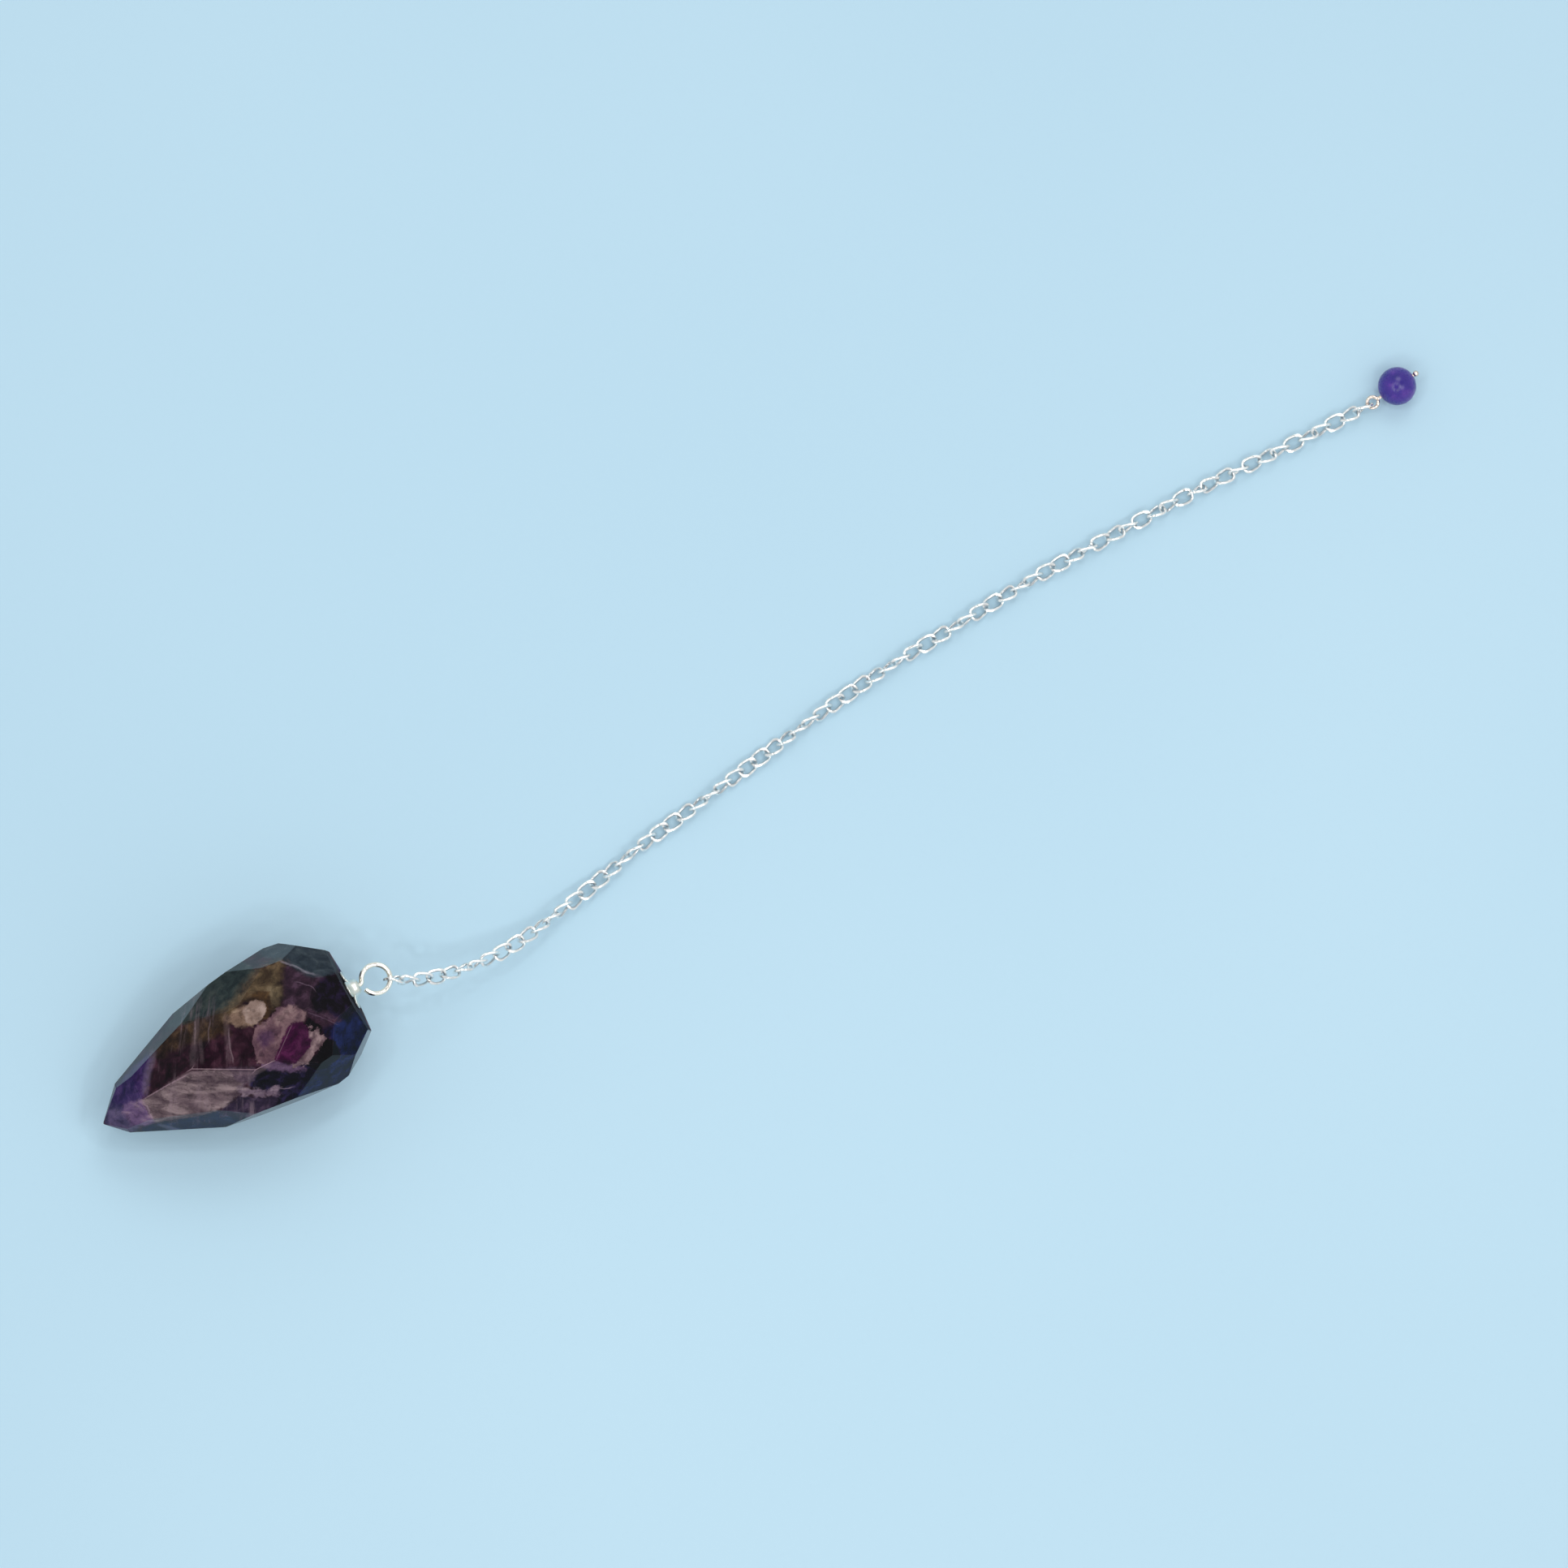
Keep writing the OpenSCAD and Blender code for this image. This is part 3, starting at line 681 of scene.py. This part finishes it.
def wire_skin(name, path, radii, out_of_plane, sides, place):
    """A round wire along a path in one plane, with its length and turn kept for its draw lines."""
    rings = []
    count = len(path)
    marks = []
    run = 0
    for k, (point, radius) in enumerate(zip(path, radii)):
        ahead = path[min(k + 1, count - 1)]
        behind = path[max(k - 1, 0)]
        side = out_of_plane.cross((ahead - behind).normalized())
        if k:
            run += (point - path[k - 1]).length
        ring = []
        for j in range(sides):
            a = 2 * math.pi * j / sides
            ring.append(place @ (point + radius * (math.cos(a) * side + math.sin(a) * out_of_plane)))
            marks.append((run, math.cos(a), math.sin(a)))
        rings.append(ring)
    mesh = skin(name, rings, closed_rows=False)
    lines = mesh.attributes.new("draw_lines", "FLOAT_VECTOR", "POINT")
    lines.data.foreach_set("vector", [c for mark in marks for c in mark])
    bm = bmesh.new()
    bm.from_mesh(mesh)
    bm.verts.ensure_lookup_table()
    bm.faces.new([bm.verts[j] for j in range(sides)][::-1])
    bm.faces.new([bm.verts[(count - 1) * sides + j] for j in range(sides)])
    bmesh.ops.recalc_face_normals(bm, faces=bm.faces)
    bm.to_mesh(mesh)
    bm.free()
    mesh.shade_smooth()
    mesh.set_sharp_from_angle(angle=math.radians(50))
    return mesh


def rounded_end(path, radii, r, corner):
    """Rounds the rim of a wire's cut end, by this much."""
    end, before = path[-1], path[-2]
    away = (end - before).normalized()
    path[-1] = end - corner * away
    for k in range(1, 5):
        a = math.pi / 2 * k / 4
        path.append(end - corner * (1 - math.sin(a)) * away)
        radii.append(r - corner * (1 - math.cos(a)))


eye_path = [Vector((0, 0, height))
            for height in (STONE_LEN - PEG_LEN, STONE_LEN, CAP_TOP - 0.2, CAP_TOP)]
eye_path += [Vector((0, side, CAP_TOP + rise))
             for side, rise in turned_eye(EYE_R, NECK_R, NECK_BEND, EYE_GAP, steps=96)]
eye_radii = [EYE_WIRE_R] * len(eye_path)
rounded_end(eye_path, eye_radii, EYE_WIRE_R, corner=0.14)
eye_mesh = wire_skin("wire_eye", eye_path, eye_radii, Vector((1, 0, 0)), sides=32, place=in_stone)

plated_wire, start, surface = new_material("plated_wire")
drawn = start.node("Attribute", {"attribute_name": "draw_lines"}, {}, 1)
lines = drawn.scaled((0.25, 9, 9)).noise(1.0, 4.0, 0.6)
dents = drawn.scaled((1.6, 0.8, 0.8)).noise(1.0, 2.0)
wire_colour = start.node("ValToRGB", {"stops": [(0.35, (0.84, 0.81, 0.72)), (0.6, (0.96, 0.94, 0.88))]},
                         {0: lines})
start.feed(surface.inputs["Base Color"], wire_colour)
start.feed(surface.inputs["Roughness"], 0.13 + lines * 0.16)
start.feed(surface.inputs["Normal"], bump(start, lines * 0.25 + dents, 0.04, 0.5))
surface.inputs["Metallic"].default_value = 1
new_piece("wire_eye", eye_mesh, plated_wire, "eye_pin")


# Chain: seventy-five curb links of thin wire, each closed on the next, twisted so that it would
# lie flat, and ground a little on its faces. The cut in each link's side shows as a fine seam.
LINK_TWIST = math.radians(32)
LINK_A = 1.56
LINK_B = 1.05
LINK_C = LINK_B * math.tan(LINK_TWIST) / 2
LINK_R = 0.265
SQUARENESS = 2.5
GROUND = 0.13
SEAM_AT = math.radians(101)
SEAM_HALF = 0.02
SEAM_ROOM = 0.09
SEAM_NARROW = 0.93
LINK_STEPS = 40
WIRE_SIDES = 16


def rounded(q):
    return math.copysign(abs(q) ** (2 / SQUARENESS), q)


def link_line(t):
    return Vector((LINK_A * rounded(math.cos(t)), LINK_B * rounded(math.sin(t)),
                   LINK_C * math.sin(2 * t)))


def link_shape():
    """Points of one link, their seam marks, how far they face its middle, and its faces."""
    turns = [2 * math.pi * k / LINK_STEPS for k in range(LINK_STEPS)]
    turns = sorted([t for t in turns if abs(t - SEAM_AT) > SEAM_ROOM]
                   + [SEAM_AT - SEAM_HALF, SEAM_AT, SEAM_AT + SEAM_HALF])
    ground_at = LINK_C + LINK_R - GROUND
    points = []
    marks = []
    inner = []
    for t in turns:
        ahead = (link_line(t + 0.02) - link_line(t - 0.02)).normalized()
        out = ahead.cross(Vector((0, 0, 1))).normalized()
        up = out.cross(ahead)
        radius = LINK_R * (SEAM_NARROW if t == SEAM_AT else 1)
        for j in range(WIRE_SIDES):
            a = 2 * math.pi * j / WIRE_SIDES
            p = link_line(t) + radius * (math.cos(a) * out + math.sin(a) * up)
            p.z = max(-ground_at, min(ground_at, p.z))
            points.append(p)
            marks.append(1.0 if t == SEAM_AT else 0.0)
            inner.append(-math.cos(a))
    count = len(turns)
    faces = [(i * WIRE_SIDES + j, i * WIRE_SIDES + (j + 1) % WIRE_SIDES,
              (i + 1) % count * WIRE_SIDES + (j + 1) % WIRE_SIDES, (i + 1) % count * WIRE_SIDES + j)
             for i in range(count) for j in range(WIRE_SIDES)]
    return np.array(points), marks, inner, faces


def islands(mesh):
    """The separate solids of a mesh, as arrays of their corner points."""
    bm = bmesh.new()
    bm.from_mesh(mesh)
    bmesh.ops.remove_doubles(bm, verts=bm.verts, dist=1e-6)
    found = []
    seen = set()
    for first in bm.verts:
        if first in seen:
            continue
        seen.add(first)
        queue = [first]
        for vert in queue:
            for edge in vert.link_edges:
                other = edge.other_vert(vert)
                if other not in seen:
                    seen.add(other)
                    queue.append(other)
        found.append(np.array([vert.co for vert in queue]))
    bm.free()
    return sorted(found, key=lambda points: points[:, 0].mean())


link_points, link_marks, link_inner, link_faces = link_shape()
chain_points = []
chain_faces = []
chain_marks = []
chain_inner = []
for solid in islands(nodes["chain"].data):
    middle = solid.mean(axis=0)
    axes = np.linalg.eigh((solid - middle).T @ (solid - middle))[1]
    along, across = axes[:, 2], axes[:, 1]
    if along[0] < 0:
        along = -along
    turned = np.array([along, across, np.cross(along, across)])
    first = len(chain_points)
    laid_link = middle + link_points @ turned * MM
    # The scene's wire is thicker than the part's, and still lies on the table.
    laid_link[:, 2] = laid_link[:, 2].clip(min=0)
    chain_points += list(laid_link)
    chain_faces += [tuple(first + k for k in face) for face in link_faces]
    chain_marks += link_marks
    chain_inner += link_inner
chain_mesh = bpy.data.meshes.new("curb_chain")
chain_mesh.from_pydata(chain_points, [], chain_faces)
chain_mesh.attributes.new("seam", "FLOAT", "POINT").data.foreach_set("value", chain_marks)
chain_mesh.attributes.new("inner", "FLOAT", "POINT").data.foreach_set("value", chain_inner)
bm = bmesh.new()
bm.from_mesh(chain_mesh)
bmesh.ops.recalc_face_normals(bm, faces=bm.faces)
bm.to_mesh(chain_mesh)
bm.free()
chain_mesh.shade_smooth()
chain_mesh.set_sharp_from_angle(angle=math.radians(30))

chain_metal, start, surface = new_material("chain_metal")
here = place_mm(start)
rub = here.noise(1.5, 3.0, 0.6)
chain_colour = start.node("ValToRGB", {"stops": [(0.3, (0.82, 0.84, 0.84)), (0.6, (0.96, 0.96, 0.94))]},
                          {0: rub})
# Painted shade: the inner side of each link, where the links meet and hide each other, is painted
# darker.
inner = start.node("Attribute", {"attribute_name": "inner"}, {}, 2)
chain_colour = chain_colour.under((0.24, 0.27, 0.3), inner.ease(0, 1) * (0.25 + rub * 0.55))
chain_colour = chain_colour.under((0.1, 0.1, 0.1),
                                  start.node("Attribute", {"attribute_name": "seam"}, {}, 2) * 0.5)
start.feed(surface.inputs["Base Color"], chain_colour)
start.feed(surface.inputs["Roughness"], 0.13 + rub * 0.2)
start.feed(surface.inputs["Normal"], bump(start, here.noise(7, 3.0), 0.02, 0.4))
surface.inputs["Metallic"].default_value = 1
new_piece("curb_chain", chain_mesh, chain_metal, "chain")


# Head pin: one wire with a ball at its end, pushed through the bead and turned into a loop that
# closes round the last link. Its plating is a warmer tone than the chain's.
PIN_WIRE_R = 0.275
PIN_LOOP_R = 0.875
PIN_NECK_R = 0.55
BEAD_R = 3
BALL_R = 0.5
PIN_NECK = 3.3
PIN_SAG = math.radians(12)
PIN_TURN = math.radians(5)
PIN_GAP = 30
BALL_PLAY = 0.05
BALL_STEPS = 14
pin_low, pin_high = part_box("bead")
bead_middle = (pin_low + pin_high) / 2
on_pin = Matrix.Translation(bead_middle) @ Matrix.Rotation(PIN_TURN, 4, "Z") @ Matrix.Rotation(
    -PIN_SAG, 4, "Y") @ Matrix.Scale(MM, 4)
pin_bend = math.degrees(math.acos(PIN_NECK_R / (PIN_NECK_R + PIN_LOOP_R)))
pin_path = []
pin_radii = []
ball_middle = BEAD_R + BALL_PLAY + BALL_R
for k in range(BALL_STEPS + 1):
    a = math.pi * (0.04 + 0.78 * k / BALL_STEPS)
    pin_path.append(Vector((ball_middle + BALL_R * 0.96 * math.cos(a), 0, 0)))
    pin_radii.append(max(BALL_R * math.sin(a), PIN_WIRE_R if a > math.pi / 2 else 0))
for x in (BEAD_R, 1, -1, -BEAD_R, -PIN_NECK):
    pin_path.append(Vector((x, 0, 0)))
    pin_radii.append(PIN_WIRE_R)
for side, rise in turned_eye(PIN_LOOP_R, PIN_NECK_R, pin_bend, PIN_GAP, steps=72):
    pin_path.append(Vector((-PIN_NECK - rise, side, 0)))
    pin_radii.append(PIN_WIRE_R)
rounded_end(pin_path, pin_radii, PIN_WIRE_R, corner=0.09)
pin_mesh = wire_skin("ball_pin", pin_path, pin_radii, Vector((0, 0, 1)), sides=28, place=on_pin)

warm_plate, start, surface = new_material("warm_plate")
drawn = start.node("Attribute", {"attribute_name": "draw_lines"}, {}, 1)
lines = drawn.scaled((0.3, 8, 8)).noise(1.0, 3.0, 0.6)
pin_colour = start.node("ValToRGB", {"stops": [(0.3, (0.72, 0.56, 0.47)), (0.65, (0.90, 0.80, 0.72))]},
                        {0: lines})
start.feed(surface.inputs["Base Color"], pin_colour)
start.feed(surface.inputs["Roughness"], 0.15 + lines * 0.16)
start.feed(surface.inputs["Normal"], bump(start, lines, 0.02, 0.4))
surface.inputs["Metallic"].default_value = 1
new_piece("ball_pin", pin_mesh, warm_plate, "head_pin")


# Bead: a small round bead of violet stone, turned and polished, drilled through from both sides
# with the rims of its hole rounded over. It is the grip at the chain's end.
BEAD_HOLE_R = 0.325
RIM = 0.12
BEAD_AROUND = 72
BEAD_STEPS = 40
hole_edge = math.asin((BEAD_HOLE_R + RIM) / BEAD_R)
bead_section = []
for k in range(BEAD_STEPS + 1):
    a = hole_edge + (math.pi - 2 * hole_edge) * k / BEAD_STEPS
    bead_section.append((BEAD_R * math.cos(a), BEAD_R * math.sin(a)))
for side in (-1, 1):
    reach = BEAD_R * math.cos(hole_edge)
    rim_points = [(side * (reach - RIM * 0.05), BEAD_HOLE_R + RIM * 0.55),
                  (side * (reach - RIM * 0.3), BEAD_HOLE_R + RIM * 0.2),
                  (side * (reach - RIM * 0.8), BEAD_HOLE_R)]
    bead_section += rim_points if side < 0 else rim_points[::-1]
bead_rings = []
for j in range(BEAD_AROUND):
    turn = 2 * math.pi * j / BEAD_AROUND
    bead_rings.append([on_pin @ Vector((x, r * math.cos(turn), r * math.sin(turn)))
                       for x, r in bead_section])
bead_mesh = skin("grip_bead", bead_rings)
bead_mesh.shade_smooth()

violet_stone, start, surface = new_material("violet_stone")
here = place_mm(start)
tone = here.noise(0.35, 3.0, 0.5, 0.5)
bead_colour = start.node("ValToRGB", {"stops": [(0.3, (0.014, 0.006, 0.18)), (0.5, (0.034, 0.01, 0.23)),
                                                (0.7, (0.1, 0.03, 0.29))]}, {0: tone})
start.feed(surface.inputs["Base Color"], bead_colour)
start.feed(surface.inputs["Roughness"], 0.22 + here.noise(2.5, 3.0) * 0.12)
start.feed(surface.inputs["Normal"], bump(start, here.noise(1.5, 3.0), 0.03, 0.3))
surface.inputs["IOR"].default_value = 1.54
surface.inputs["Specular IOR Level"].default_value = 0.5
new_piece("grip_bead", bead_mesh, violet_stone, "bead")
